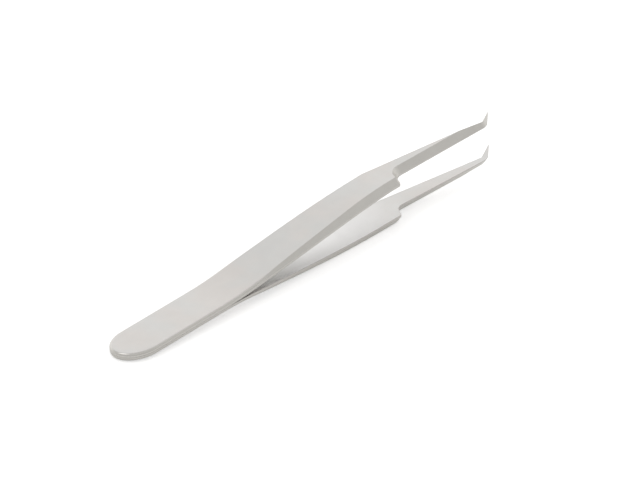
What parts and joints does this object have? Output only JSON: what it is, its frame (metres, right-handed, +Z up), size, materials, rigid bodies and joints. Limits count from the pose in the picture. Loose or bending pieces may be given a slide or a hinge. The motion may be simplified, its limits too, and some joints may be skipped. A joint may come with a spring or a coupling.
{
  "type": "angled tweezers",
  "caption": "Fine-pointed electronics tweezers with bent needle tips: sprung steel arms joined at a rounded butt, ground to slender points.",
  "frame": {"origin": "centre of the bounding box in plan, on the table that the tweezers lie on", "axes": "+X from the butt to the points, +Z up from the table, +Y the side the points are bent towards"},
  "size_m": [0.1156, 0.0098, 0.0122],
  "materials": {
    "satin_steel": "satin ground stainless steel"
  },
  "bodies": {
    "root": {"upper_arm": "satin_steel", "lower_arm": "satin_steel"}
  },
  "joints": []
}
